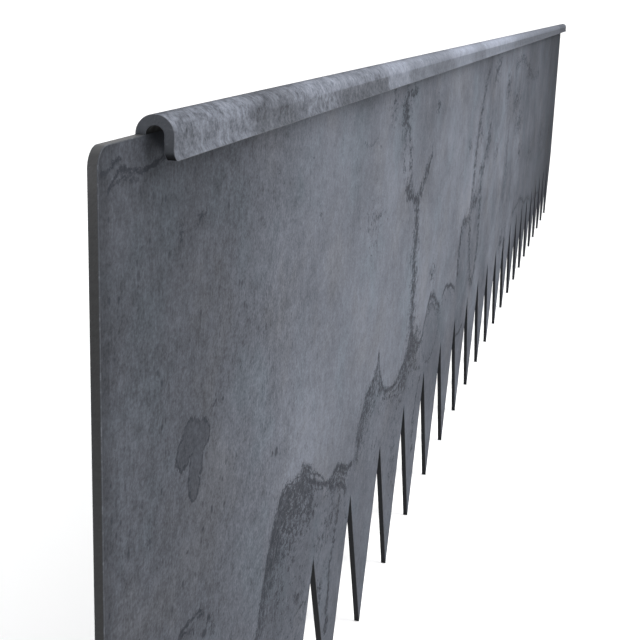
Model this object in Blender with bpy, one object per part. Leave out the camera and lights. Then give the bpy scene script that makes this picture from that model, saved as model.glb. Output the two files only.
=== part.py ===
"""Garden edging panel: one roll-formed, coated sheet with a rolled top bead and a toothed foot.

The sheet is modelled as its formed zones. X runs along the panel, from the joining tongue at low X
to the plain end at high X. The front looks towards -Y and the rear face lies on Y = 0. Z = 0 is the
soil line, where the teeth start, so the teeth lie below it. All sizes are in metres.
"""
import math

import bmesh
import bpy
from mathutils import Matrix, Vector

# Driving dimensions
LENGTH = 1.180            # overall, tongue included
HEIGHT = 0.200            # tooth tips to bead crest
SHEET = 0.00185           # sheet thickness, with its coating
TOOTH_COUNT = 24
TOOTH_DEPTH = 0.0595      # soil line to tooth tips
TIP_WIDTH = 0.0004        # flat left at the point of a tooth
BEND_RADIUS = 0.0035      # outer radius of the rolled bead
LIP_DROP = 0.0076         # bead crest to the lip's lower edge
FOOT_HEIGHT = 0.0015      # flared stretch at the bottom of the lip
FOOT_FLARE = 0.0006       # how far that stretch leans out
TONGUE_LENGTH = 0.019     # bead trimmed off over this length
TONGUE_DROP = 0.0035      # bead crest to the tongue's top edge
CORNER_RADIUS = 0.0036    # rounded top corner of the tongue
GAP = 0.0003              # clearance between neighbouring zones

# Segments on the round stretches
BEND_STEPS = 10
CORNER_STEPS = 8
FOOT_STEPS = 4

# Derived places
PITCH = LENGTH / TOOTH_COUNT
NEAR_END = -LENGTH / 2
FAR_END = LENGTH / 2
TRIM = NEAR_END + TONGUE_LENGTH
CREST = HEIGHT - TOOTH_DEPTH
BEND_Y = -BEND_RADIUS
BEND_Z = CREST - BEND_RADIUS
LIP_BOTTOM = CREST - LIP_DROP
FOOT_TOP = LIP_BOTTOM + FOOT_HEIGHT
HALF_GAP = GAP / 2
INNER_RADIUS = BEND_RADIUS - SHEET

# Surface colours, linear RGB
FACE_COLOUR = (0.105, 0.115, 0.137)
BEAD_COLOUR = (0.205, 0.222, 0.262)
TOOTH_COLOUR = (0.098, 0.107, 0.127)
SHARP_ANGLE = math.radians(35)


def clear_scene():
    """Start from an empty scene."""
    for existing in list(bpy.data.objects):
        bpy.data.objects.remove(existing, do_unlink=True)


def coating(name, colour, roughness):
    """A printed, slightly satin coating."""
    material = bpy.data.materials.new(name)
    material.use_nodes = True
    shader = material.node_tree.nodes["Principled BSDF"]
    shader.inputs["Base Color"].default_value = (*colour, 1.0)
    shader.inputs["Roughness"].default_value = roughness
    shader.inputs["Metallic"].default_value = 0.0
    material.diffuse_color = (*colour, 1.0)
    return material


def prism_mesh(name, outline, depth):
    """A closed prism: the outline's points extruded along the vector depth."""
    shape = bmesh.new()
    base = shape.faces.new([shape.verts.new(point) for point in outline])
    grown = bmesh.ops.extrude_face_region(shape, geom=[base])["geom"]
    moved = [item for item in grown if isinstance(item, bmesh.types.BMVert)]
    bmesh.ops.translate(shape, verts=moved, vec=depth)
    bmesh.ops.recalc_face_normals(shape, faces=shape.faces)
    mesh = bpy.data.meshes.new(name)
    shape.to_mesh(mesh)
    shape.free()
    mesh.shade_smooth()
    mesh.set_sharp_from_angle(angle=SHARP_ANGLE)
    return mesh


def add_zone(name, mesh, material, parent, place=(0.0, 0.0, 0.0)):
    """One named zone of the sheet, under the panel's empty."""
    if not mesh.materials:
        mesh.materials.append(material)
    zone = bpy.data.objects.new(name, mesh)
    bpy.context.scene.collection.objects.link(zone)
    zone.parent = parent
    zone.matrix_basis = Matrix.Translation(place)
    return zone


def flat_mesh(name, outline):
    """A flat stretch of sheet: an outline in X and Z, one sheet thick, with its rear on Y = 0."""
    points = [Vector((x, -SHEET, z)) for x, z in outline]
    return prism_mesh(name, points, Vector((0.0, SHEET, 0.0)))


def rolled_mesh(name, profile):
    """A stretch of the bead: a profile in Y and Z, run from the trim to the far end."""
    points = [Vector((TRIM, y, z)) for y, z in profile]
    return prism_mesh(name, points, Vector((FAR_END - TRIM, 0.0, 0.0)))


def face_outline():
    """The flat face, from the soil line to the start of the bend."""
    left = TRIM + HALF_GAP
    low = HALF_GAP
    high = BEND_Z - HALF_GAP
    return [(left, low), (FAR_END, low), (FAR_END, high), (left, high)]


def tongue_outline():
    """The joining tongue, with its outer top corner rounded."""
    right = TRIM - HALF_GAP
    top = CREST - TONGUE_DROP
    outline = [(NEAR_END, HALF_GAP), (right, HALF_GAP), (right, top)]
    for step in range(CORNER_STEPS + 1):
        angle = math.pi / 2 * (1 + step / CORNER_STEPS)
        x = NEAR_END + CORNER_RADIUS + CORNER_RADIUS * math.cos(angle)
        z = top - CORNER_RADIUS + CORNER_RADIUS * math.sin(angle)
        outline.append((x, z))
    return outline


def bend_profile(side):
    """A quarter of the bead's ring. side is +1 for the rear quarter and -1 for the front one.

    Both ends are cut back by half a gap, parallel to the face they meet.
    """
    profile = []
    for radius, order in ((BEND_RADIUS, 1), (INNER_RADIUS, -1)):
        start = math.asin(HALF_GAP / radius)
        sweep = math.pi / 2 - 2 * start
        arc = [start + sweep * step / BEND_STEPS for step in range(BEND_STEPS + 1)]
        for angle in arc[::order]:
            profile.append((BEND_Y + side * radius * math.cos(angle), BEND_Z + radius * math.sin(angle)))
    return profile


def lip_profile():
    """The straight lip under the bead's front quarter."""
    outer = BEND_Y - BEND_RADIUS
    inner = outer + SHEET
    high = BEND_Z - HALF_GAP
    low = FOOT_TOP + HALF_GAP
    return [(outer, high), (inner, high), (inner, low), (outer, low)]


def foot_profile():
    """The flared lower edge of the lip, leaning out along a quarter cosine."""
    high = FOOT_TOP - HALF_GAP
    outer_side = []
    inner_side = []
    for step in range(FOOT_STEPS + 1):
        share = step / FOOT_STEPS
        z = high + (LIP_BOTTOM - high) * share
        lean = FOOT_FLARE * (1 - math.cos(math.pi / 2 * share))
        outer = BEND_Y - BEND_RADIUS - lean
        outer_side.append((outer, z))
        inner_side.append((outer + SHEET, z))
    return outer_side + inner_side[::-1]


def tooth_outline():
    """One tooth about X = 0: a long triangle with its point cut flat."""
    root = PITCH / 2 - HALF_GAP
    tip = TIP_WIDTH / 2
    return [(-root, -HALF_GAP), (-tip, -TOOTH_DEPTH), (tip, -TOOTH_DEPTH), (root, -HALF_GAP)]


def build():
    """Make every zone of the panel."""
    clear_scene()
    panel = bpy.data.objects.new("edging_panel", None)
    bpy.context.scene.collection.objects.link(panel)

    face = coating("face_print", FACE_COLOUR, 0.55)
    add_zone("face_panel", flat_mesh("face_panel", face_outline()), face, panel)
    tongue = coating("tongue_print", FACE_COLOUR, 0.55)
    add_zone("joining_tongue", flat_mesh("joining_tongue", tongue_outline()), tongue, panel)

    zones = (
        ("bead_rear_bend", bend_profile(1)),
        ("bead_front_bend", bend_profile(-1)),
        ("bead_lip", lip_profile()),
        ("lip_foot", foot_profile()),
    )
    for name, profile in zones:
        finish = coating(name + "_print", BEAD_COLOUR, 0.5)
        add_zone(name, rolled_mesh(name, profile), finish, panel)

    tooth = flat_mesh("tooth", tooth_outline())
    tooth_finish = coating("tooth_print", TOOTH_COLOUR, 0.55)
    for number in range(TOOTH_COUNT):
        place = (NEAR_END + PITCH * (number + 0.5), 0.0, 0.0)
        add_zone(f"tooth_{number + 1:02d}", tooth, tooth_finish, panel, place)


build()
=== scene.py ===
"""The looks of the garden edging panel: the sheet with its broken edges, the print and the stage.

The frame's axes hold here too: X runs from the tongue end to the plain end, the front looks towards
-Y, Z = 0 is the soil line and lengths are in metres. The print is laid out in millimetres, from the
tongue end and up from the soil line.
"""
import math

import bmesh
import bpy
from mathutils import Euler, Matrix, Vector


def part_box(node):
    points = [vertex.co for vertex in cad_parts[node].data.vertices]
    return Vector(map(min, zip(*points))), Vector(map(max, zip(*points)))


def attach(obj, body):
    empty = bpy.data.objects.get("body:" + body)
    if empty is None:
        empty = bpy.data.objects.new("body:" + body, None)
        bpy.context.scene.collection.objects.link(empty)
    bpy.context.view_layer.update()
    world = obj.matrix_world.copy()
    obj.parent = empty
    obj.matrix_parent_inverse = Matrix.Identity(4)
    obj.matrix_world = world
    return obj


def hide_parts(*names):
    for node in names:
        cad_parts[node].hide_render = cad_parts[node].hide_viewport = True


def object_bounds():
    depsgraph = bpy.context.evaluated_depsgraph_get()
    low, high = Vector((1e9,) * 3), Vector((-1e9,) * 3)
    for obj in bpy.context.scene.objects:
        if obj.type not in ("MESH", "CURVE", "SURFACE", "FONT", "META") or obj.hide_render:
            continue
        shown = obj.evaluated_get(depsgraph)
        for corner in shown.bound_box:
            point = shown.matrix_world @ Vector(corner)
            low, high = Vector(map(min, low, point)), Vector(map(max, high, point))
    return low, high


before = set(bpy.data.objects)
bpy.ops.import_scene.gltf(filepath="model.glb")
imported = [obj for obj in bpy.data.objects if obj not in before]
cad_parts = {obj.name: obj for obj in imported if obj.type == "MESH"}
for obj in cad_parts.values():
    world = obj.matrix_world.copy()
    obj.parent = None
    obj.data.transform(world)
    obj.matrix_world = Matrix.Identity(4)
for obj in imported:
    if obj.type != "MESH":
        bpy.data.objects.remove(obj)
cad_low, cad_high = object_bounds()

# The sheet, read from the frame
NEAR_END = cad_low.x
FAR_END = cad_high.x
TIPS = cad_low.z
CREST = cad_high.z
panel_low, panel_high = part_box("face_panel")
_, tongue_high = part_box("joining_tongue")
lip_low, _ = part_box("bead_lip")
foot_low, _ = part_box("lip_foot")
SHEET = panel_high.y - panel_low.y
GAP = panel_low.x - tongue_high.x
TRIM = panel_low.x - GAP / 2
TONGUE_TOP = tongue_high.z
BEND_RADIUS = -lip_low.y / 2
BEND_Y = -BEND_RADIUS
BEND_Z = CREST - BEND_RADIUS
INNER_RADIUS = BEND_RADIUS - SHEET
FOOT_TOP = lip_low.z - GAP / 2
LIP_BOTTOM = foot_low.z
FOOT_FLARE = lip_low.y - foot_low.y
TOOTH_COUNT = sum(name.startswith("tooth_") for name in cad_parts)
PITCH = (FAR_END - NEAR_END) / TOOTH_COUNT

# The roll and the hollow behind its lip, in the print's millimetres
BEND_HEIGHT = BEND_Z * 1000
BEND_CENTRE = BEND_Y * 1000
BEND_SIZE = BEND_RADIUS * 1000
ROLL_LENGTH = math.pi * BEND_SIZE
CHANNEL_LOW = LIP_BOTTOM * 1000
CHANNEL_START = (TRIM - NEAR_END) * 1000

# Shape details that the frame doesn't hold
CORNER_RADIUS = 0.0036    # rounded top corner of the tongue
TIP_WIDTH = 0.0004        # flat at the point of a tooth
EDGE_BREAK = 0.00016      # rounding left on every cut edge
BREAK_STEPS = 3
BEND_STEPS = 28
CORNER_STEPS = 16
FOOT_STEPS = 8
SMOOTH_ANGLE = math.radians(32)

# Material slots of each piece
FRONT, BACK, CUT, BROKEN = range(4)


# Node trees

class Nodes:
    """A material's node tree, with one short method for each kind of step."""

    def __init__(self, name):
        self.material = bpy.data.materials.new(name)
        self.material.use_nodes = True
        self.tree = self.material.node_tree
        self.shader = self.tree.nodes["Principled BSDF"]

    def put(self, socket, value):
        """A socket takes a link or a plain value."""
        if isinstance(value, bpy.types.NodeSocket):
            self.tree.links.new(value, socket)
        else:
            socket.default_value = value

    def add(self, kind, inputs, **settings):
        node = self.tree.nodes.new(kind)
        for key, value in settings.items():
            setattr(node, key, value)
        for key, value in inputs.items():
            self.put(node.inputs[key], value)
        return node

    def math(self, operation, first, second=0.0, clamp=False):
        node = self.add("ShaderNodeMath", {0: first, 1: second}, operation=operation, use_clamp=clamp)
        return node.outputs[0]

    def plus(self, *terms):
        total = terms[0]
        for term in terms[1:]:
            total = self.math("ADD", total, term)
        return total

    def minus(self, first, second):
        return self.math("SUBTRACT", first, second)

    def times(self, *factors):
        product = factors[0]
        for factor in factors[1:]:
            product = self.math("MULTIPLY", product, factor)
        return product

    def most(self, *values):
        highest = values[0]
        for value in values[1:]:
            highest = self.math("MAXIMUM", highest, value)
        return highest

    def least(self, *values):
        lowest = values[0]
        for value in values[1:]:
            lowest = self.math("MINIMUM", lowest, value)
        return lowest

    def size(self, value):
        return self.math("ABSOLUTE", value)

    def step(self, value, start, end, low=0.0, high=1.0):
        """A soft step: low below start, high above end. start may be above end."""
        inputs = {0: value, 1: start, 2: end, 3: low, 4: high}
        node = self.add("ShaderNodeMapRange", inputs, interpolation_type="SMOOTHSTEP")
        return node.outputs[0]

    def point(self, x, y, z=0.0):
        return self.add("ShaderNodeCombineXYZ", {0: x, 1: y, 2: z}).outputs[0]

    def grid(self, place, grain, stretch, seed):
        """The place in units of grain, stretched along and up the sheet, on the layer that seed names."""
        x, z = place
        along = self.times(x, 1 / (grain * stretch[0]))
        up = self.times(z, 1 / (grain * stretch[1]))
        return self.point(along, up, seed)

    def noise(self, place, grain, detail=3.0, roughness=0.55, seed=0.0, stretch=(1.0, 1.0)):
        """Noise from 0 to 1 about 0.5, with features about grain across. seed moves it elsewhere."""
        at = self.grid(place, grain, stretch, seed)
        inputs = {"Vector": at, "Scale": 1.0, "Detail": detail, "Roughness": roughness}
        return self.add("ShaderNodeTexNoise", inputs).outputs[0]

    def cells(self, place, grain, seed=0.0, stretch=(1.0, 1.0)):
        """Distance to the nearest scattered point, in units of grain, and a random value for its cell."""
        at = self.grid(place, grain, stretch, seed)
        node = self.add("ShaderNodeTexVoronoi", {"Vector": at, "Scale": 1.0})
        red = self.add("ShaderNodeSeparateColor", {0: node.outputs["Color"]}).outputs[0]
        return node.outputs["Distance"], red

    def curve(self, value, points, cut=False):
        """A smooth line through the points. It is flat beyond them, or leaps away if cut is set."""
        if cut:
            start, end = points[0], points[-1]
            points = ((start[0] - 0.4, start[1] - 900.0), *points, (end[0] + 0.4, end[1] - 900.0))
        starts = [point[0] for point in points]
        heights = [point[1] for point in points]
        low = min(heights)
        reach = (max(heights) - low) or 1.0
        node = self.add("ShaderNodeFloatCurve", {"Value": self.ramp(value, starts[0], starts[-1])})
        drawn = node.mapping.curves[0]
        places = [((s - starts[0]) / (starts[-1] - starts[0]), (h - low) / reach) for s, h in points]
        drawn.points[0].location = places[0]
        drawn.points[-1].location = places[-1]
        for place in places[1:-1]:
            drawn.points.new(*place)
        if cut:
            for index in (0, 1, -2, -1):
                drawn.points[index].handle_type = "VECTOR"
        node.mapping.update()
        scaled = self.add("ShaderNodeMath", {0: node.outputs[0], 1: reach, 2: low}, operation="MULTIPLY_ADD")
        return scaled.outputs[0]

    def ramp(self, value, start, end, low=0.0, high=1.0):
        """A straight ramp from low at start to high at end, flat beyond."""
        return self.add("ShaderNodeMapRange", {0: value, 1: start, 2: end, 3: low, 4: high}).outputs[0]

    def ellipse(self, place, centre, reach):
        """Distance from the centre, 1 on the ellipse that the reach gives. place is a vector."""
        scale = (1 / reach[0], 1 / reach[1], 0.0)
        shift = (-centre[0] / reach[0], -centre[1] / reach[1], 0.0)
        node = self.add("ShaderNodeVectorMath", {0: place, 1: scale, 2: shift}, operation="MULTIPLY_ADD")
        return self.add("ShaderNodeVectorMath", {0: node.outputs[0]}, operation="LENGTH").outputs["Value"]

    def blend(self, share, first, second):
        """A colour between first and second."""
        node = self.tree.nodes.new("ShaderNodeMix")
        node.data_type = "RGBA"
        self.put(node.inputs[0], share)
        self.put(node.inputs[6], first)
        self.put(node.inputs[7], second)
        return node.outputs[2]

    def shade(self, colour, tone):
        """A colour darkened or lightened by a factor."""
        node = self.add("ShaderNodeVectorMath", {0: colour, "Scale": tone}, operation="SCALE")
        return node.outputs[0]

    def bump(self, height, strength, distance):
        inputs = {"Strength": strength, "Distance": distance, "Height": height}
        self.put(self.shader.inputs["Normal"], self.add("ShaderNodeBump", inputs).outputs[0])

    def sheet_place(self):
        """Millimetres along the panel from the tongue end, towards the rear, and up from the soil line."""
        place = self.add("ShaderNodeTexCoord", {}).outputs["Object"]
        axes = self.add("ShaderNodeSeparateXYZ", {0: place}).outputs
        along = self.times(self.minus(axes[0], NEAR_END), 1000.0)
        return along, self.times(axes[1], 1000.0), self.times(axes[2], 1000.0)


def rgba(red, green, blue):
    return (red, green, blue, 1.0)


# The print's veins and stains, in millimetres from the tongue end and up from the soil line. A wash
# hangs below the crest line, strongest along it: above 0 it shows and at -1 there is none.

CREST_LINE = (
    (84, -6), (88, 3), (92, 12), (97, 22), (103, 30), (108, 34.5), (113, 36.5), (121, 34.5), (128, 34),
    (133, 35), (138, 31.5), (146, 26), (155, 20.5), (163, 17.5), (176, 18), (182, 15.5), (188, 12.5),
    (195, 11), (199, 15), (203, 20), (210, 27), (220, 31), (229, 34), (233, 35.5), (235, 42), (237, 35),
    (241, 28.5), (247, 21.5), (255, 18.5), (272, 16), (284, 18.5), (293, 21), (299, 27), (303, 31),
    (308, 26), (317, 19.5), (328, 18), (337, 24), (346, 31.5), (356, 32.5), (368, 26), (381, 20),
    (392, 25.5), (408, 25), (421, 21.5), (431, 18), (437, 26), (442, 41), (452, 47.5), (470, 46),
)
WASH_ALONG = (
    (82, -1), (86, 0.7), (95, 1.4), (108, 1.9), (135, 1.85), (144, 1.1), (151, 0.3), (160, 0.35),
    (170, 0.8), (184, 0.7), (194, 0.15), (200, 0.4), (208, 1.3), (234, 1.4), (244, 0.8), (262, 0.5),
    (278, 0.6), (292, 1.5), (310, 1.5), (320, 0.9), (332, 0.45), (345, 0.7), (362, 0.6), (385, 0.35),
    (430, 0.2), (468, 0.05), (480, -1),
)

# Strands along the sheet, frayed along their length: (place along, height) points, half width and strength
STRANDS = (
    (((3.5, 129.6), (6, 131.3), (9, 132.4), (14, 131.5), (18, 131), (22, 131.7), (29, 132.7)), 0.6, 1.8),
    (((5, 130.2), (9, 131.2), (13, 130.6), (17, 129.9)), 0.7, 0.9),
    (((0.6, 132.9), (4, 132.9), (6.5, 133.8), (9, 134.2)), 0.7, 1.2),
    (((34.5, 34.5), (38, 35.3), (43, 34.7), (48, 34.4), (50.5, 32.4)), 0.7, 1.3),
    (((36, 34.4), (40, 33.4), (44.5, 31.8)), 1.2, 1.0),
    (((46, 33.7), (49, 33), (50.6, 32.4)), 0.7, 1.4),
    (((52, 28.6), (53.4, 29.7), (55, 29)), 1.0, 1.8),
    (((97, 21), (103, 29.5), (108, 34), (113, 36), (121, 34.3), (128, 34), (133, 34.8), (138, 32.5),
      (146, 27)), 1.5, 0.9),
    (((134, 33.5), (138, 31), (144, 28), (150, 25.5), (157, 21)), 0.9, 1.2),
    (((137, 29), (142, 26.5), (152, 21.8), (163, 17.6), (176, 18), (182, 15.6), (188, 12.6),
      (197, 11.5)), 1.4, 1.6),
    (((138, 26.5), (143, 24), (149, 21.5), (156, 18.5)), 1.2, 0.9),
    (((164, 16.5), (170, 13.6), (177, 12), (184, 8.5), (190, 5)), 2.0, 1.5),
    (((167, 15.2), (175, 14.6), (182, 12), (187, 9)), 1.8, 1.1),
    (((174, 17), (179, 15.6), (184, 12.6), (190, 10.5)), 1.5, 1.2),
    (((240, 29), (247, 21.5), (257, 18.2), (272, 16), (284, 18.5), (296, 21)), 1.5, 1.6),
    (((246, 19), (253, 16), (262, 14.8), (272, 13.4)), 1.3, 0.8),
    (((248, 19), (258, 14.5), (268, 12.5), (279, 9), (291, 10)), 2.2, 0.8),
    (((303, 30), (311, 24), (320, 19.5), (330, 18), (338, 24), (347, 31), (357, 32), (370, 25.5),
      (382, 20)), 2.4, 1.3),
    (((306, 16), (314, 10), (324, 7), (332, 6)), 2.0, 1.0),
    (((346, 27.5), (356, 28.5), (368, 22.5), (382, 19)), 2.0, 1.0),
    (((388, 23), (398, 26.5), (408, 25), (416, 23.5), (424, 21), (433, 17.5)), 1.5, 1.3),
    (((404, 24.5), (413, 24), (421, 22), (430, 18.5)), 1.2, 1.7),
    (((334, 12), (342, 6), (356, 2), (372, 6), (386, 14)), 2.4, 0.7),
    (((195, 117), (206, 115), (216, 116), (224, 112)), 1.2, 0.3),
    (((437, -11), (450, -11.5), (462, -12.5), (474, -11)), 1.4, 1.3),
    (((740, 6), (765, 7), (800, 9), (826, 5), (850, -1), (880, -1), (915, -9)), 3.4, 0.7),
    (((930, -16), (980, -14), (1020, -17)), 3.4, 0.7),
)

# Crumbling seams along the sheet, in the same form
SEAMS = (
    (((274, 91.5), (279, 90), (285, 88.5), (291, 86), (298, 83), (304, 85), (311, 87), (317, 90),
      (326, 95), (334, 100)), 3.4, 1.3),
    (((440, 41), (448, 47.5), (460, 48), (476, 47)), 3.8, 1.3),
    (((492, 12), (500, 7), (508, 8), (515, 12)), 3.6, 1.2),
    (((474, 49), (488, 54), (502, 53), (520, 57)), 5.0, 1.0),
    (((508, 68), (516, 69), (530, 66)), 3.8, 1.1),
    (((560, 115), (575, 122), (592, 127)), 4.0, 1.0),
    (((690, 118), (740, 121), (800, 112), (850, 103), (910, 103)), 5.0, 0.6),
)

# Veins that climb the sheet: (height, place along) points, half width and strength
VEINS = (
    (((24, 303), (32, 303), (40, 302), (50, 303), (60, 301), (72, 302), (86, 301)), 7.0, 1.4),
    (((22, 303), (30, 303), (40, 302)), 4.0, 1.5),
    (((86, 288), (92, 284), (98, 281), (106, 279), (114, 276)), 4.5, 0.6),
    (((90, 274), (100, 268), (112, 264), (130, 262)), 3.6, 0.35),
    (((-36, 167), (-20, 167), (-12, 170), (-4, 174), (3, 177), (9, 180)), 2.2, 1.6),
    (((-12, 170), (-7, 175), (-5, 183), (-4, 190)), 1.2, 1.1),
    (((-6, 192), (0, 188), (6, 186)), 1.4, 0.9),
    (((24.5, 56.2), (27, 55.8), (29, 54.7)), 0.8, 1.3),
    (((14, 145), (20, 140.5), (26, 139), (30, 137)), 2.2, 1.2),
    (((16, 148), (21, 145), (27, 142)), 1.7, 1.1),
    (((2, 106), (12, 108.5), (20, 109)), 2.2, 1.0),
    (((-30, 321), (-16, 320), (-6, 325), (2, 333)), 3.0, 1.1),
    (((6, 496), (17, 490), (28, 485), (40, 480), (51, 479), (62, 484), (73, 487), (84, 491), (94, 497),
      (105, 505), (115, 516), (124, 528)), 6.0, 1.0),
    (((8, 511), (18, 519), (32, 522), (46, 521), (58, 520), (66, 524), (75, 535), (84, 546),
      (92, 553)), 6.0, 1.0),
    (((22, 440), (34, 440), (44, 446)), 4.2, 1.4),
)

# Ragged blots: place along, height, half length, half height, strength
BLOTS = (
    (267, 120, 8, 10, 1.5), (280, 127, 8, 3, 1.4), (243, 124, 8, 6, 0.6), (344, 117, 6, 4, 1.1),
    (353, 43, 9, 5, 1.0), (315, 21, 11, 7, 1.3), (302, 20, 9, 10, 1.6), (288, 13, 14, 7, 1.2),
    (459, 88, 7, 4, 0.9), (487, 77, 7, 11, 1.1), (509, 90, 8, 8, 0.7), (548, 82, 11, 10, 0.9),
    (570, 120, 14, 7, 0.9), (596, 70, 14, 7, 0.6), (648, 107, 14, 10, 1.0), (664, 60, 10, 36, 0.4),
    (660, 0, 14, 6, 1.0), (715, 92, 26, 10, 0.9), (745, 74, 28, 10, 0.9), (765, 52, 22, 9, 0.8),
    (800, 110, 22, 9, 0.8), (860, 40, 24, 12, 0.5), (690, -6, 12, 12, 0.9), (1000, 38, 50, 14, 0.4),
    (56, 78, 1.0, 1.0, 1.0), (48, 119, 3.0, 2.4, 1.1), (36.5, 117, 2.0, 1.4, 1.1), (142, 105, 3, 2, 0.5),
    (162, 3, 14, 6, 1.0), (129, -3, 5, 3, 1.2), (118, 14, 16, 10, 0.4), (206, 14, 6, 7, 1.1),
    (225, 26, 16, 6, 0.8), (279, 6, 7, 4, 1.1), (217, 88, 14, 8, 0.3), (235, 3, 20, 6, 0.4),
    (158, -14, 6, 8, 0.8), (272, -12, 8, 20, 0.5), (108.5, 8, 2.5, 9, 1.2), (100, 16, 4, 8, 0.7),
    (141, 19, 6, 7, 0.9), (123, 24, 12, 4, 0.8), (134, -8, 6, 5, 0.8),
)

# Small crisp spots: place along, height, half length, half height
SPOTS = (
    (104, 49.5, 1.6, 1.5), (100.5, 50.3, 0.9, 0.8), (55, 54.6, 0.75, 1.1), (49.5, 52.4, 0.9, 0.6),
    (50.8, 27.5, 2.0, 1.0), (57, 78.3, 0.9, 0.5), (61.5, 77.2, 1.0, 0.5), (2.2, 57, 0.5, 0.7),
    (63.5, 52.4, 0.7, 0.6), (40.2, 51.4, 0.7, 0.4),
)

# Broad dim clouds: place along, height, half length, half height, depth
DIM_CLOUDS = (
    (50, 108, 64, 30, 0.08), (505, 34, 26, 34, 0.22), (455, 26, 36, 26, 0.12), (730, 86, 66, 28, 0.14),
    (660, 60, 20, 66, 0.10), (1000, 30, 120, 60, 0.03), (335, 116, 60, 18, 0.10),
    (264, 118, 24, 20, 0.14), (352, 8, 60, 34, 0.14), (565, 18, 50, 36, 0.12), (112, 2, 30, 26, 0.12),
)

# Lobes of the outlined stain: place along, height, half length, half height
LOBES = (
    (37.8, 73.2, 3.9, 3.0), (42.3, 75.2, 5.2, 3.7), (48.6, 73.2, 4.3, 3.6), (44.0, 66.0, 3.3, 4.9),
    (45.2, 69.0, 4.0, 4.0),
)
RIM = 0.97


def warped(nodes, place, seed, slow, fast):
    """The place, pushed about at two scales by up to slow and fast, so that lines on it turn ragged."""
    moved = []
    for index, part in enumerate(place):
        far = nodes.minus(nodes.noise(place, 9, 2, seed=seed + 3.1 * index), 0.5)
        near = nodes.minus(nodes.noise(place, 1.8, 4, 0.7, seed + 9.3 + 3.1 * index), 0.5)
        moved.append(nodes.plus(part, nodes.times(far, 2 * slow), nodes.times(near, 2 * fast)))
    return moved


def line(nodes, along, across, points, width, strength):
    """How close a place is to the line through the points: strength on it, -1 at twice its half width."""
    off = nodes.size(nodes.minus(across, nodes.curve(along, points, cut=True)))
    return nodes.ramp(off, 0.0, 2 * width, strength, -1.0)


def blot(nodes, place, shape):
    """How close a place is to a blot: its strength at the centre, -1 at twice its reach."""
    far = nodes.ellipse(place, shape[:2], shape[2:4])
    return nodes.ramp(far, 0.0, 2.0, shape[4], -1.0)


def crumbled(nodes, closeness, grit, bite):
    """Turns closeness into a mark that breaks up into grit, the more so the higher bite is."""
    rough = nodes.times(nodes.minus(grit, 0.5), bite)
    return nodes.step(nodes.plus(nodes.times(closeness, 0.42), rough), 0.0, 0.52)


def wash(nodes, x, below, streaks):
    """A streaky wash below the crest line, as wet cement leaves."""
    top = nodes.ramp(below, -2.2, 2.6, -1.0, 1.8)
    body = nodes.minus(nodes.curve(x, WASH_ALONG), nodes.least(nodes.times(below, 0.075), 1.9))
    return crumbled(nodes, nodes.least(top, body), streaks, 5.0)


def outlined_stain(nodes, place, grit):
    """A flat stain with a thin broken rim, the union of its lobes."""
    flat = nodes.point(*place)
    field = nodes.least(*(nodes.ellipse(flat, lobe[:2], lobe[2:]) for lobe in LOBES))
    fill = nodes.times(nodes.step(field, RIM, 1.02, 0.46, 0.0), nodes.plus(nodes.times(grit, 1.6), 0.2))
    rim = nodes.step(nodes.size(nodes.minus(field, RIM)), 0.19, 0.06)
    return nodes.most(fill, nodes.times(rim, nodes.step(grit, 0.40, 0.54, 0.5, 1.0)))


def spots(nodes, place):
    """The small crisp spots."""
    flat = nodes.point(*place)
    nearest = nodes.least(*(nodes.ellipse(flat, spot[:2], spot[2:]) for spot in SPOTS))
    return nodes.step(nearest, 1.15, 0.5, 0.0, 0.8)


def veining(nodes, place):
    """How dark the print's veins, washes and stains are, from 0 to 1."""
    x, z = place
    tight = warped(nodes, place, 20.0, 0.5, 0.6)
    rough = warped(nodes, place, 24.0, 1.3, 1.8)
    loose = warped(nodes, place, 27.0, 3.0, 3.4)
    below = nodes.minus(nodes.curve(rough[0], CREST_LINE), rough[1])
    fibres = nodes.noise((tight[0], below), 1.0, 4, 0.8, 31.0, stretch=(3.6, 1.0))
    grit = nodes.noise(place, 3.4, 6, 0.85, 37.0, stretch=(1.2, 0.9))
    streaks = nodes.plus(nodes.times(fibres, 0.5), nodes.times(grit, 0.5))
    patches = nodes.step(grit, 0.40, 0.54, 0.7, 1.0)
    combed = nodes.step(fibres, 0.40, 0.54, 0.6, 1.0)
    strands = -1.0
    for points, width, strength in STRANDS:
        strands = nodes.most(strands, line(nodes, *tight, points, width, strength))
    marks = nodes.times(crumbled(nodes, strands, fibres, 3.0), patches)
    ragged = -1.0
    for points, width, strength in SEAMS:
        ragged = nodes.most(ragged, line(nodes, *loose, points, width, strength))
    for points, width, strength in VEINS:
        ragged = nodes.most(ragged, line(nodes, loose[1], loose[0], points, width, strength))
    flat = nodes.point(*loose)
    for shape in BLOTS:
        ragged = nodes.most(ragged, blot(nodes, flat, shape))
    marks = nodes.most(marks, nodes.times(crumbled(nodes, ragged, grit, 4.4), combed))
    marks = nodes.most(marks, nodes.times(wash(nodes, rough[0], below, streaks), combed))
    damp = nodes.times(nodes.step(below, -1.0, 5.0, 0.0, 0.30), nodes.step(x, 500.0, 440.0), patches)
    damp = nodes.times(damp, nodes.step(z, -32.0, -4.0, 0.3, 1.0))
    return nodes.most(marks, damp, outlined_stain(nodes, rough, fibres), spots(nodes, tight))


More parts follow.
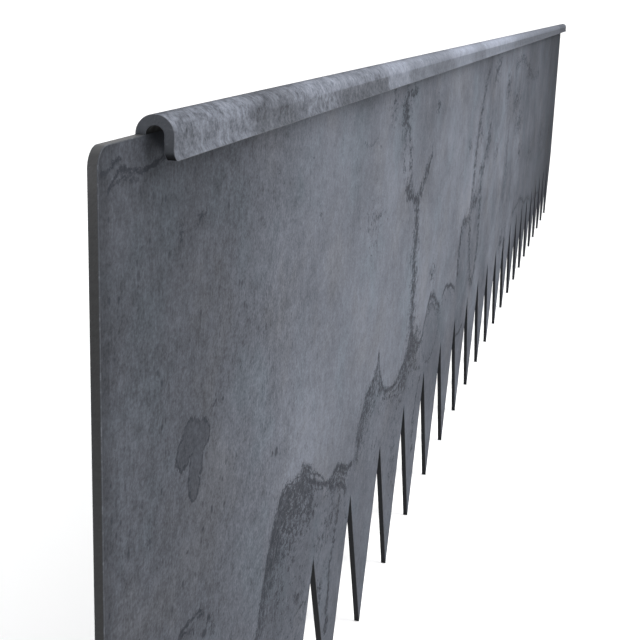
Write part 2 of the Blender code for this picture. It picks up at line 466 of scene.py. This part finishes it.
def clouds(nodes, place, seed, coarse, fine):
    """The print's tone without its veins: broad clouds, mottling and a fine grain, about 1."""
    broad = nodes.minus(nodes.noise(place, 60, 3, 0.6, seed, stretch=(1.2, 0.9)), 0.5)
    middle = nodes.minus(nodes.noise(place, 14, 4, 0.6, seed + 2), 0.5)
    small = nodes.minus(nodes.noise(place, 3.4, 4, 0.7, seed + 4), 0.5)
    grain = nodes.minus(nodes.noise(place, 0.8, 3, 0.7, seed + 6), 0.5)
    streak = nodes.minus(nodes.noise(place, 1.3, 3, 0.6, seed + 8, stretch=(0.7, 3.2)), 0.5)
    large = nodes.times(nodes.plus(nodes.times(broad, 1.0), nodes.times(middle, 0.5)), coarse)
    close = nodes.plus(nodes.times(small, 0.75), nodes.times(grain, 0.9), nodes.times(streak, 0.4))
    return nodes.plus(1.0, large, nodes.times(close, fine))


def specks(nodes, place, seed, density):
    """Small dark pits and flecks, gathered in drifts."""
    drift = nodes.step(nodes.noise(place, 16, 3, 0.6, seed), 0.40, 0.66)
    amount = nodes.times(density, nodes.plus(nodes.times(drift, 0.8), 0.2))
    far, chance = nodes.cells(place, 2.1, seed + 1, stretch=(0.9, 1.15))
    radius = nodes.times(nodes.ramp(chance, 0.35, 1.0), 0.34)
    small = nodes.times(nodes.step(nodes.minus(far, radius), 0.06, -0.10), nodes.step(chance, 0.35, 0.8))
    far, chance = nodes.cells(place, 6.0, seed + 2, stretch=(0.9, 1.2))
    radius = nodes.times(nodes.ramp(chance, 0.5, 1.0), 0.17)
    large = nodes.times(nodes.step(nodes.minus(far, radius), 0.05, -0.06), nodes.step(chance, 0.5, 0.9))
    return nodes.times(nodes.most(nodes.times(small, 0.55), nodes.times(large, 0.8)), amount)


def dimming(nodes, place):
    """Factor of the broad dim clouds, 1 where there is none."""
    flat = nodes.point(*place)
    factor = 1.0
    for shape in DIM_CLOUDS:
        far = nodes.ellipse(flat, shape[:2], shape[2:4])
        factor = nodes.times(factor, nodes.step(far, 0.0, 1.3, 1.0 - shape[4], 1.0))
    return factor


# Tone of the print along the panel: the broad clouds of the concrete pattern, with painted shade that
# darkens it towards both ends
TONE_AND_SHADE_ALONG = (
    (0, 0.50), (35, 0.50), (60, 0.60), (80, 0.72), (110, 0.92), (150, 0.98), (240, 1.0), (420, 1.0),
    (570, 0.96), (680, 1.0), (800, 0.72), (950, 0.66), (1060, 0.48), (1180, 0.38),
)
# Tone of the print up the panel: painted shade just under the lip, and darker towards the tooth tips
TONE_AND_SHADE_UP = (
    (-60, 0.70), (-20, 0.84), (0, 0.91), (20, 0.96), (40, 1.0), (60, 1.015), (85, 0.99), (110, 0.91),
    (128, 0.81),
)
COARSE_ALONG = ((0, 1.2), (250, 1.0), (450, 1.2), (650, 1.4), (800, 1.1), (1180, 0.9))
FINE_ALONG = (
    (0, 1.85), (60, 1.75), (120, 1.3), (180, 1.0), (260, 0.95), (600, 0.9), (900, 0.6), (1180, 0.5),
)
FACE_TINT = (0.0855, 0.093, 0.113)
FACE_COOL = (0.082, 0.094, 0.114)
FACE_WARM = (0.088, 0.0935, 0.110)
VEIN_TINT = (0.015, 0.017, 0.022)
# Near black: painted shade for the inside of the roll
INNER_SHADE_TINT = (0.002, 0.002, 0.0024)
MARK_SHARE = 0.92         # how far a full mark goes towards VEIN_TINT
REAR_SHIFT = 2000.0       # how far along its pattern the rear print starts, so that it differs


def print_finish(nodes, place, colour, tone, marks):
    """The coating over the print: dull, duller on veins and pits, with a fine tooth. Its gloss goes when
    seen edge on."""
    nodes.put(nodes.shader.inputs["Base Color"], colour)
    roughness = nodes.plus(0.66, nodes.times(nodes.minus(tone, 1.0), -0.25), nodes.times(marks, 0.18))
    nodes.put(nodes.shader.inputs["Roughness"], roughness)
    edge_on = nodes.add("ShaderNodeLayerWeight", {"Blend": 0.5}).outputs["Facing"]
    nodes.put(nodes.shader.inputs["Specular IOR Level"], nodes.ramp(edge_on, 1.0, 0.0, 0.0, 0.3))
    nodes.bump(nodes.noise(place, 0.8, 2, 0.6, 150.0), 0.35, 0.0001)


def tinted(nodes, place, seed):
    """The print's blue-grey, drifting a little cooler and warmer."""
    drift = nodes.noise(place, 34, 3, 0.6, seed)
    cool = nodes.blend(nodes.step(drift, 0.5, 0.68), rgba(*FACE_TINT), rgba(*FACE_COOL))
    return nodes.blend(nodes.step(drift, 0.5, 0.32), cool, rgba(*FACE_WARM))


def face_print():
    """The concrete-look print on the front face, with its veins and stains, and painted shade in the hollow
    behind the lip.
    """
    nodes = Nodes("concrete_print_front")
    x, _, z = nodes.sheet_place()
    place = (x, z)
    tone = clouds(nodes, place, 2.0, nodes.curve(x, COARSE_ALONG), nodes.curve(x, FINE_ALONG))
    end_shade = nodes.step(x, 0.0, 8.0, 0.66, 1.0)
    # Painted shade from the tone curves darkens the print towards both ends and just under the lip
    along = nodes.times(nodes.curve(x, TONE_AND_SHADE_ALONG), nodes.curve(z, TONE_AND_SHADE_UP), end_shade)
    dirt = specks(nodes, place, 60.0, nodes.step(x, 260.0, 20.0, 0.3, 1.35))
    # Painted shade: the print turns near black in the hollow behind the lip, fading in from the hook's end
    reach = nodes.times(nodes.least(nodes.minus(x, CHANNEL_START), 9.0), 0.65)
    painted_hollow_shade = nodes.step(nodes.plus(z, reach), CHANNEL_LOW + 4.4, CHANNEL_LOW + 6.4)
    painted_hollow_shade = nodes.times(painted_hollow_shade, nodes.step(x, CHANNEL_START - 4.0, CHANNEL_START + 1.0))
    marks = nodes.most(veining(nodes, place), dirt, painted_hollow_shade)
    tone = nodes.times(tone, along, dimming(nodes, place))
    ground = nodes.shade(tinted(nodes, place, 70.0), tone)
    colour = nodes.blend(nodes.times(marks, MARK_SHARE), ground, rgba(*VEIN_TINT))
    print_finish(nodes, place, colour, tone, marks)
    return nodes.material


def rear_print():
    """The same print on the rear, where it runs on with smaller marks."""
    nodes = Nodes("concrete_print_rear")
    x, _, z = nodes.sheet_place()
    place = (nodes.plus(x, REAR_SHIFT), z)
    tone = clouds(nodes, place, 2.0, 0.9, 0.7)
    drawn = warped(nodes, place, 23.0, 2.0, 2.5)
    grit = nodes.noise(place, 3.4, 6, 0.85, 37.0)
    meander = nodes.size(nodes.minus(nodes.noise(drawn, 75, 3, 0.55, 81.0, stretch=(1.3, 0.8)), 0.5))
    shown = nodes.noise(place, 55, 2, 0.5, 83.0)
    closeness = nodes.plus(
        nodes.ramp(meander, 0.0, 0.03, 1.2, -1.0),
        nodes.ramp(shown, 0.42, 0.60, -1.6, 0.0),
    )
    stain = nodes.ramp(nodes.noise(drawn, 85, 3, 0.6, 85.0), 0.56, 0.70, -1.0, 0.9)
    veins = nodes.times(crumbled(nodes, nodes.most(closeness, stain), grit, 4.4), 0.7)
    marks = nodes.most(veins, specks(nodes, place, 60.0, 0.6))
    ground = nodes.shade(tinted(nodes, place, 70.0), nodes.times(tone, 1.05))
    colour = nodes.blend(nodes.times(marks, MARK_SHARE), ground, rgba(*VEIN_TINT))
    print_finish(nodes, place, colour, tone, marks)
    return nodes.material


# Tone of the bead's print along the panel, on the roll and on the lip: zones with sharp ends
BEAD_ALONG = (
    (19, 0.65), (27, 0.66), (36, 0.78), (56, 0.83), (63, 0.69), (70, 0.54), (88, 0.52), (94, 0.72),
    (106, 0.86), (122, 0.98), (134, 0.98), (142, 0.82), (160, 0.86), (200, 0.84), (206, 1.18),
    (236, 1.22), (242, 1.02), (258, 1.06), (282, 1.06), (290, 0.92), (325, 0.98), (352, 1.36),
    (390, 1.54), (420, 1.36), (438, 1.13), (452, 1.19), (462, 1.51), (560, 1.60), (610, 1.35),
    (700, 1.02), (850, 0.88), (1000, 0.86), (1065, 0.78), (1095, 0.58), (1130, 0.62), (1180, 0.72),
)
# Tone of the lip along the panel: its print, darkened partly by painted shade
LIP_TONE_AND_SHADE = (
    (19, 0.46), (27, 0.50), (36, 0.58), (56, 0.62), (63, 0.52), (70, 0.37), (92, 0.36), (98, 0.58),
    (134, 0.62), (139, 0.41), (203, 0.39), (205, 0.80), (238, 0.84), (241, 0.57), (282, 0.59),
    (292, 0.52), (320, 0.52), (350, 0.70), (385, 0.82), (425, 0.60), (455, 0.60), (460, 0.78),
    (560, 0.78), (620, 0.58), (700, 0.50), (1000, 0.49), (1065, 0.46), (1095, 0.33), (1180, 0.42),
)
# Painted light across the roll, in millimetres from its rear foot over the crest: painted shade at the rear
# and a painted highlight on the front just past the crest
ROLL_LIGHT_ACROSS = (
    (2.1, 0.26), (4.3, 0.35), (5.35, 0.63), (6.4, 0.94), (7.4, 1.03), (8.6, 1.0), (9.7, 0.9),
    (10.9, 0.80),
)
BEAD_GRAIN = ((19, 1.5), (110, 1.4), (200, 1.1), (300, 0.7), (1180, 0.5))
BEAD_TINT = (0.134, 0.146, 0.176)


def unrolled(nodes, y, z):
    """Millimetres across the bead, from its rear foot over the crest and down the lip."""
    up = nodes.minus(z, BEND_HEIGHT)
    angle = nodes.math("ARCTAN2", nodes.most(up, 0.0), nodes.minus(y, BEND_CENTRE))
    return nodes.minus(nodes.times(angle, BEND_SIZE), nodes.least(up, 0.0))


def bead_print():
    """The lighter print on the rolled bead, in zones along it, with painted shade at the rear, a painted
    highlight past the crest and a lip darkened partly by its print and partly by painted shade.
    """
    nodes = Nodes("concrete_print_bead")
    x, y, z = nodes.sheet_place()
    across = unrolled(nodes, y, z)
    place = (x, across)
    slant = nodes.times(nodes.minus(nodes.noise(place, 5, 4, 0.7, 90.0), 0.5), 6.0)
    along = nodes.plus(x, slant)
    on_lip = nodes.step(across, ROLL_LENGTH - 0.35, ROLL_LENGTH + 0.15)
    # Painted shade and highlight across the roll scale the print's zones
    roll = nodes.times(nodes.curve(along, BEAD_ALONG), nodes.curve(across, ROLL_LIGHT_ACROSS))
    lip = nodes.curve(along, LIP_TONE_AND_SHADE)
    zones_and_painted_light = nodes.plus(roll, nodes.times(nodes.minus(lip, roll), on_lip))
    cloud = nodes.minus(nodes.noise(place, 9, 4, 0.7, 92.0, stretch=(1.3, 0.7)), 0.5)
    mottle = nodes.minus(nodes.noise(place, 2.4, 4, 0.75, 94.0), 0.5)
    grain = nodes.minus(nodes.noise(place, 0.7, 3, 0.7, 96.0), 0.5)
    strength = nodes.curve(x, BEAD_GRAIN)
    texture = nodes.plus(nodes.times(cloud, 1.1), nodes.times(mottle, 1.6), nodes.times(grain, 0.8))
    tone = nodes.plus(1.0, nodes.times(texture, strength))
    dirt = nodes.times(specks(nodes, place, 98.0, 0.7), strength)
    ground = nodes.shade(BEAD_TINT, nodes.times(tone, zones_and_painted_light))
    colour = nodes.blend(nodes.times(dirt, 0.8), ground, rgba(*VEIN_TINT))
    print_finish(nodes, place, colour, tone, dirt)
    return nodes.material


def inner_painted_shade():
    """Painted shade inside the roll: a near-black surface, dulled by grit."""
    nodes = Nodes("painted_shade_inside_roll")
    x, y, z = nodes.sheet_place()
    grit = nodes.noise((x, nodes.plus(z, y)), 1.5, 4, 0.7, 140.0)
    nodes.put(nodes.shader.inputs["Base Color"], nodes.shade(INNER_SHADE_TINT, nodes.plus(0.5, grit)))
    nodes.put(nodes.shader.inputs["Roughness"], nodes.step(grit, 0.3, 0.7, 0.6, 0.8))
    nodes.put(nodes.shader.inputs["Specular IOR Level"], 0.05)
    nodes.bump(grit, 0.3, 0.0001)
    return nodes.material


# Painted light on the cut edges: lighter up the end towards its top, painted shadow darkening the hook's cut
# towards its foot, and the tooth flanks lighter along the row towards the far end
END_LIGHT_UP = ("z", ((-60, 0.95), (105, 0.96), (120, 1.1), (130, 1.4), (134, 1.6), (138, 1.6)))
HOOK_SHADOW_UP = ("z", ((132.8, 0.02), (133.6, 0.18), (134.5, 0.8), (136, 1.0), (140.5, 1.05)))
TOOTH_LIGHT_ALONG = ("x", ((0, 1.0), (500, 1.0), (700, 1.4), (900, 2.4), (1180, 3.0)))
# One sheared edge in lit and shaded copies: the hook's cut lighter than the end's, and painted shade makes
# the tooth flanks near black
END_CUT_TINT = (0.040, 0.0405, 0.042)
HOOK_CUT_TINT = (0.065, 0.070, 0.080)
TOOTH_CUT_SHADE_TINT = (0.0085, 0.009, 0.011)
FACE_WORN_TINT = (0.050, 0.054, 0.062)
TOOTH_WORN_TINT = (0.030, 0.032, 0.037)
BEAD_WORN_TINT = (0.055, 0.059, 0.068)
WORN_LIFT = 1.7           # how much lighter the most worn places are


def cut_edge(name, tint, seed, painted_light):
    """A sheared edge of the coated sheet: dark, with faint bands and small flecks. Its last argument gives
    the painted light and shade on it as (height or place along, tone) points after the axis that they run
    on."""
    nodes = Nodes(name)
    x, y, z = nodes.sheet_place()
    place = (nodes.plus(x, nodes.times(y, 0.6)), z)
    bands = nodes.minus(nodes.noise(place, 2.6, 4, 0.7, seed, stretch=(4.0, 0.5)), 0.5)
    grain = nodes.minus(nodes.noise((nodes.plus(x, y), nodes.plus(z, y)), 0.5, 3, 0.6, seed + 1), 0.5)
    flecks = nodes.step(nodes.noise((nodes.plus(x, y), z), 0.8, 3, 0.7, seed + 2), 0.62, 0.72)
    axis, points = painted_light
    texture = nodes.plus(1.0, nodes.times(bands, 0.5), nodes.times(grain, 0.5), nodes.times(flecks, 0.4))
    # Painted light and shade scale the edge's tone
    tone = nodes.times(texture, nodes.curve({"x": x, "z": z}[axis], points))
    nodes.put(nodes.shader.inputs["Base Color"], nodes.shade(tint, tone))
    nodes.put(nodes.shader.inputs["Roughness"], nodes.plus(0.55, nodes.times(grain, 0.2)))
    nodes.put(nodes.shader.inputs["Specular IOR Level"], 0.08)
    nodes.bump(tone, 0.4, 0.0001)
    return nodes.material


def worn_break(name, tint, seed):
    """The rounded edge between face and cut, where handling has thinned the print."""
    nodes = Nodes(name)
    x, y, z = nodes.sheet_place()
    wear = nodes.noise((nodes.plus(x, y), z), 1.4, 4, 0.7, seed)
    worn = nodes.step(wear, 0.5, 0.66)
    colour = nodes.blend(worn, rgba(*tint), rgba(*(part * WORN_LIFT for part in tint)))
    nodes.put(nodes.shader.inputs["Base Color"], colour)
    nodes.put(nodes.shader.inputs["Roughness"], nodes.step(wear, 0.3, 0.7, 0.62, 0.48))
    nodes.put(nodes.shader.inputs["Specular IOR Level"], 0.1)
    return nodes.material


# Shapes

def finish_mesh(name, shape, edges, materials, choose):
    """Breaks the chosen edges, gives each face its material and makes the piece."""
    bmesh.ops.recalc_face_normals(shape, faces=shape.faces)
    for face in shape.faces:
        face.material_index = choose(face)
    bmesh.ops.bevel(shape, geom=edges, offset=EDGE_BREAK, offset_type="OFFSET", affect="EDGES",
                    segments=BREAK_STEPS, profile=0.5, clamp_overlap=True, material=BROKEN)
    mesh = bpy.data.meshes.new(name)
    shape.to_mesh(mesh)
    shape.free()
    for material in materials:
        mesh.materials.append(material)
    mesh.shade_smooth()
    mesh.set_sharp_from_angle(angle=SMOOTH_ANGLE)
    piece = bpy.data.objects.new(name, mesh)
    bpy.context.scene.collection.objects.link(piece)
    evened = piece.modifiers.new("even_shading", "WEIGHTED_NORMAL")
    evened.keep_sharp = True
    evened.weight = 100
    return piece


def prism(outline, depth):
    """A prism from an outline, and for each of the outline's edges its copies on the two ends."""
    shape = bmesh.new()
    start = [shape.verts.new(point) for point in outline]
    end = [shape.verts.new(point + depth) for point in outline]
    shape.faces.new(start)
    shape.faces.new(end[::-1])
    rims = []
    for index in range(len(outline)):
        after = (index + 1) % len(outline)
        shape.faces.new((start[after], start[index], end[index], end[after]))
        first = shape.edges.get((start[index], start[after]))
        second = shape.edges.get((end[index], end[after]))
        rims.append((first, second))
    long_edges = [shape.edges.get((a, b)) for a, b in zip(start, end, strict=True)]
    return shape, rims, long_edges


def plate(name, outline, cut, materials, turned=()):
    """A flat stretch of sheet from an outline in X and Z. cut names the outline's edges that are real
    cut edges and turned the corners between them that are rounded; the rest meet a neighbour."""
    points = [Vector((x, -SHEET, z)) for x, z in outline]
    shape, rims, long_edges = prism(points, Vector((0.0, SHEET, 0.0)))
    edges = [edge for index in cut for edge in rims[index]]
    edges += [long_edges[index] for index in turned]

    def choose(face):
        if abs(face.normal.y) < 0.5:
            return CUT
        return FRONT if face.normal.y < 0 else BACK

    return finish_mesh(name, shape, edges, materials, choose)


def is_inner(face):
    """Whether a face of the roll looks into its hollow."""
    centre = face.calc_center_median()
    if centre.z > BEND_Z:
        return Vector((centre.y - BEND_Y, centre.z - BEND_Z)).length < BEND_RADIUS - SHEET / 2
    return centre.y > BEND_Y - BEND_RADIUS + SHEET / 2 - FOOT_FLARE and face.normal.y > 0.5


def rolled(name, profile, skin, materials, turned=()):
    """A stretch of the bead from a profile in Y and Z. skin names the profile's edges that are sheet
    surface and turned the corners that are cut edges; the rest meet a neighbour."""
    points = [Vector((TRIM, y, z)) for y, z in profile]
    shape, rims, long_edges = prism(points, Vector((FAR_END - TRIM, 0.0, 0.0)))
    edges = [edge for index in skin for edge in rims[index]]
    edges += [long_edges[index] for index in turned]

    def choose(face):
        if abs(face.normal.x) > 0.5:
            return CUT
        return BACK if is_inner(face) else FRONT

    return finish_mesh(name, shape, edges, materials, choose)


def stand_for(piece, node):
    """The piece rides with the sheet in the place of its CAD node."""
    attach(piece, "root")
    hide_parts(node)


def make_face(materials):
    outline = [(TRIM, 0.0), (FAR_END, 0.0), (FAR_END, BEND_Z), (TRIM, BEND_Z)]
    stand_for(plate("sheet_face", outline, [1], materials), "face_panel")


def make_tongue(materials):
    outline = [(NEAR_END, 0.0), (TRIM, 0.0), (TRIM, TONGUE_TOP)]
    for step in range(CORNER_STEPS + 1):
        angle = math.pi / 2 * (1 + step / CORNER_STEPS)
        x = NEAR_END + CORNER_RADIUS * (1 + math.cos(angle))
        outline.append((x, TONGUE_TOP + CORNER_RADIUS * (math.sin(angle) - 1)))
    cut = range(2, len(outline))
    stand_for(plate("sheet_tongue", outline, cut, materials), "joining_tongue")


def make_tooth(number, materials):
    middle = NEAR_END + PITCH * (number - 0.5)
    root = PITCH / 2
    tip = TIP_WIDTH / 2
    outline = [(middle - root, 0.0), (middle - tip, TIPS), (middle + tip, TIPS), (middle + root, 0.0)]
    piece = plate(f"spike_{number:02d}", outline, [0, 1, 2], materials)
    stand_for(piece, f"tooth_{number:02d}")


def make_bend(name, side, node, materials):
    """A quarter of the roll. side is +1 for the rear quarter and -1 for the front one."""
    profile = []
    for radius, order in ((BEND_RADIUS, 1), (INNER_RADIUS, -1)):
        angles = [math.pi / 2 * step / BEND_STEPS for step in range(BEND_STEPS + 1)]
        for angle in angles[::order]:
            profile.append((BEND_Y + side * radius * math.cos(angle), BEND_Z + radius * math.sin(angle)))
    skin = list(range(BEND_STEPS)) + list(range(BEND_STEPS + 1, 2 * BEND_STEPS + 1))
    stand_for(rolled(name, profile, skin, materials), node)


def make_lip(materials):
    outer = BEND_Y - BEND_RADIUS
    inner = outer + SHEET
    profile = [(outer, BEND_Z), (inner, BEND_Z), (inner, FOOT_TOP), (outer, FOOT_TOP)]
    stand_for(rolled("bead_hanging_lip", profile, [1, 3], materials), "bead_lip")


def make_foot(materials):
    outer_side = []
    inner_side = []
    for step in range(FOOT_STEPS + 1):
        share = step / FOOT_STEPS
        z = FOOT_TOP + (LIP_BOTTOM - FOOT_TOP) * share
        outer = BEND_Y - BEND_RADIUS - FOOT_FLARE * (1 - math.cos(math.pi / 2 * share))
        outer_side.append((outer, z))
        inner_side.append((outer + SHEET, z))
    profile = outer_side + inner_side[::-1]
    skin = range(2 * FOOT_STEPS + 1)
    turned = [FOOT_STEPS, FOOT_STEPS + 1]
    stand_for(rolled("bead_lip_flare", profile, skin, materials, turned), "lip_foot")


def make_sheet():
    front = face_print()
    rear = rear_print()
    bead = bead_print()
    end_cut = cut_edge("cut_edge_end", END_CUT_TINT, 110.0, END_LIGHT_UP)
    hook_cut = cut_edge("cut_edge_hook", HOOK_CUT_TINT, 115.0, HOOK_SHADOW_UP)
    tooth_cut = cut_edge("cut_edge_tooth", TOOTH_CUT_SHADE_TINT, 120.0, TOOTH_LIGHT_ALONG)
    face_break = worn_break("worn_break_face", FACE_WORN_TINT, 130.0)
    tooth_break = worn_break("worn_break_tooth", TOOTH_WORN_TINT, 132.0)
    bead_break = worn_break("worn_break_bead", BEAD_WORN_TINT, 134.0)
    flat = (front, rear, end_cut, face_break)
    # The faces inside the roll take painted shade
    roll = (bead, inner_painted_shade(), hook_cut, bead_break)
    make_face(flat)
    make_tongue(flat)
    make_bend("bead_rear_curve", 1, "bead_rear_bend", roll)
    make_bend("bead_front_curve", -1, "bead_front_bend", roll)
    make_lip(roll)
    make_foot(roll)
    for number in range(1, TOOTH_COUNT + 1):
        make_tooth(number, (front, rear, tooth_cut, tooth_break))


# Stage

CAMERA_BEFORE = 0.1703        # metres before the tongue end
CAMERA_IN_FRONT = 0.0774      # metres in front of the front face
CAMERA_ABOVE = 0.2197         # metres above the tooth tips
CAMERA_AZIMUTH = math.radians(-76.228)
CAMERA_ELEVATION = math.radians(14.959)
CAMERA_ROLL = math.radians(1.96)
CAMERA_LENS = 68.1

# World light: towards the tongue end and towards the far end, and its factors behind the panel and overhead
WORLD_NEAR = 0.35
WORLD_FAR = 1.3
WORLD_REAR = 0.5
WORLD_TOP = 1.3

# The key light, in metres and watts, and the floor
KEY_PLACE = (-0.30, -0.95, 0.85)
KEY_TARGET = (-0.28, 0.0, 0.08)
KEY_SIZE = (1.0, 0.6)
KEY_POWER = 12.0
FLOOR_RADIUS = 14.0
FLOOR_ALBEDO = 0.95


def make_camera():
    data = bpy.data.cameras.new("camera")
    data.lens = CAMERA_LENS
    data.clip_start = 0.01
    data.clip_end = 100.0
    camera = bpy.data.objects.new("camera", data)
    bpy.context.scene.collection.objects.link(camera)
    place = Vector((NEAR_END - CAMERA_BEFORE, -SHEET - CAMERA_IN_FRONT, TIPS + CAMERA_ABOVE))
    turn = Euler((math.pi / 2 - CAMERA_ELEVATION, 0.0, CAMERA_AZIMUTH)).to_matrix().to_4x4()
    camera.matrix_world = Matrix.Translation(place) @ turn @ Matrix.Rotation(CAMERA_ROLL, 4, "Z")
    bpy.context.scene.camera = camera


def make_light(name, place, target, size, power):
    data = bpy.data.lights.new(name, "AREA")
    data.shape = "RECTANGLE"
    data.size, data.size_y = size
    data.energy = power
    light = bpy.data.objects.new(name, data)
    bpy.context.scene.collection.objects.link(light)
    light.location = place
    light.rotation_euler = (Vector(target) - Vector(place)).to_track_quat("-Z", "Y").to_euler()
    light.visible_camera = False


def make_floor():
    """A wide pale floor under the tooth tips."""
    mesh = bpy.data.meshes.new("floor")
    shape = bmesh.new()
    bmesh.ops.create_circle(shape, cap_ends=True, segments=96, radius=FLOOR_RADIUS)
    shape.to_mesh(mesh)
    shape.free()
    floor = bpy.data.objects.new("floor", mesh)
    bpy.context.scene.collection.objects.link(floor)
    floor.location = (0.0, 0.0, TIPS)
    nodes = Nodes("pale_floor")
    nodes.put(nodes.shader.inputs["Base Color"], rgba(FLOOR_ALBEDO, FLOOR_ALBEDO, FLOOR_ALBEDO))
    nodes.put(nodes.shader.inputs["Roughness"], 0.9)
    nodes.put(nodes.shader.inputs["Specular IOR Level"], 0.1)
    mesh.materials.append(nodes.material)


def make_world():
    """A pale studio: brighter overhead and past the far end, dimmer before the tongue end and behind the
    panel. The camera sees it plain white."""
    world = bpy.data.worlds.new("studio")
    bpy.context.scene.world = world
    world.use_nodes = True
    tree = world.node_tree
    background = tree.nodes["Background"]
    background.inputs["Color"].default_value = rgba(1.0, 1.0, 1.0)
    direction = tree.nodes.new("ShaderNodeTexCoord")
    axes = tree.nodes.new("ShaderNodeSeparateXYZ")
    tree.links.new(direction.outputs["Generated"], axes.inputs[0])
    levels = []
    spans = (
        (0, -1.0, 0.0, WORLD_NEAR, WORLD_FAR),
        (1, 0.5, 1.0, 1.0, WORLD_REAR),
        (2, 0.1, 1.0, 1.0, WORLD_TOP),
    )
    for axis, low, high, dim, bright in spans:
        level = tree.nodes.new("ShaderNodeMapRange")
        level.interpolation_type = "SMOOTHSTEP"
        tree.links.new(axes.outputs[axis], level.inputs[0])
        for socket, value in zip(level.inputs[1:5], (low, high, dim, bright), strict=True):
            socket.default_value = value
        levels.append(level.outputs[0])
    strength = levels[0]
    for level in levels[1:]:
        product = tree.nodes.new("ShaderNodeMath")
        product.operation = "MULTIPLY"
        tree.links.new(strength, product.inputs[0])
        tree.links.new(level, product.inputs[1])
        strength = product.outputs[0]
    seen = tree.nodes.new("ShaderNodeLightPath").outputs["Is Camera Ray"]
    plain = tree.nodes.new("ShaderNodeMath")
    plain.operation = "MAXIMUM"
    tree.links.new(strength, plain.inputs[0])
    tree.links.new(seen, plain.inputs[1])
    tree.links.new(plain.outputs[0], background.inputs["Strength"])


def make_stage():
    scene = bpy.context.scene
    scene.view_settings.view_transform = "Standard"
    scene.view_settings.look = "None"
    make_camera()
    make_floor()
    make_world()
    make_light("key_softbox", KEY_PLACE, KEY_TARGET, KEY_SIZE, KEY_POWER)


make_sheet()
make_stage()
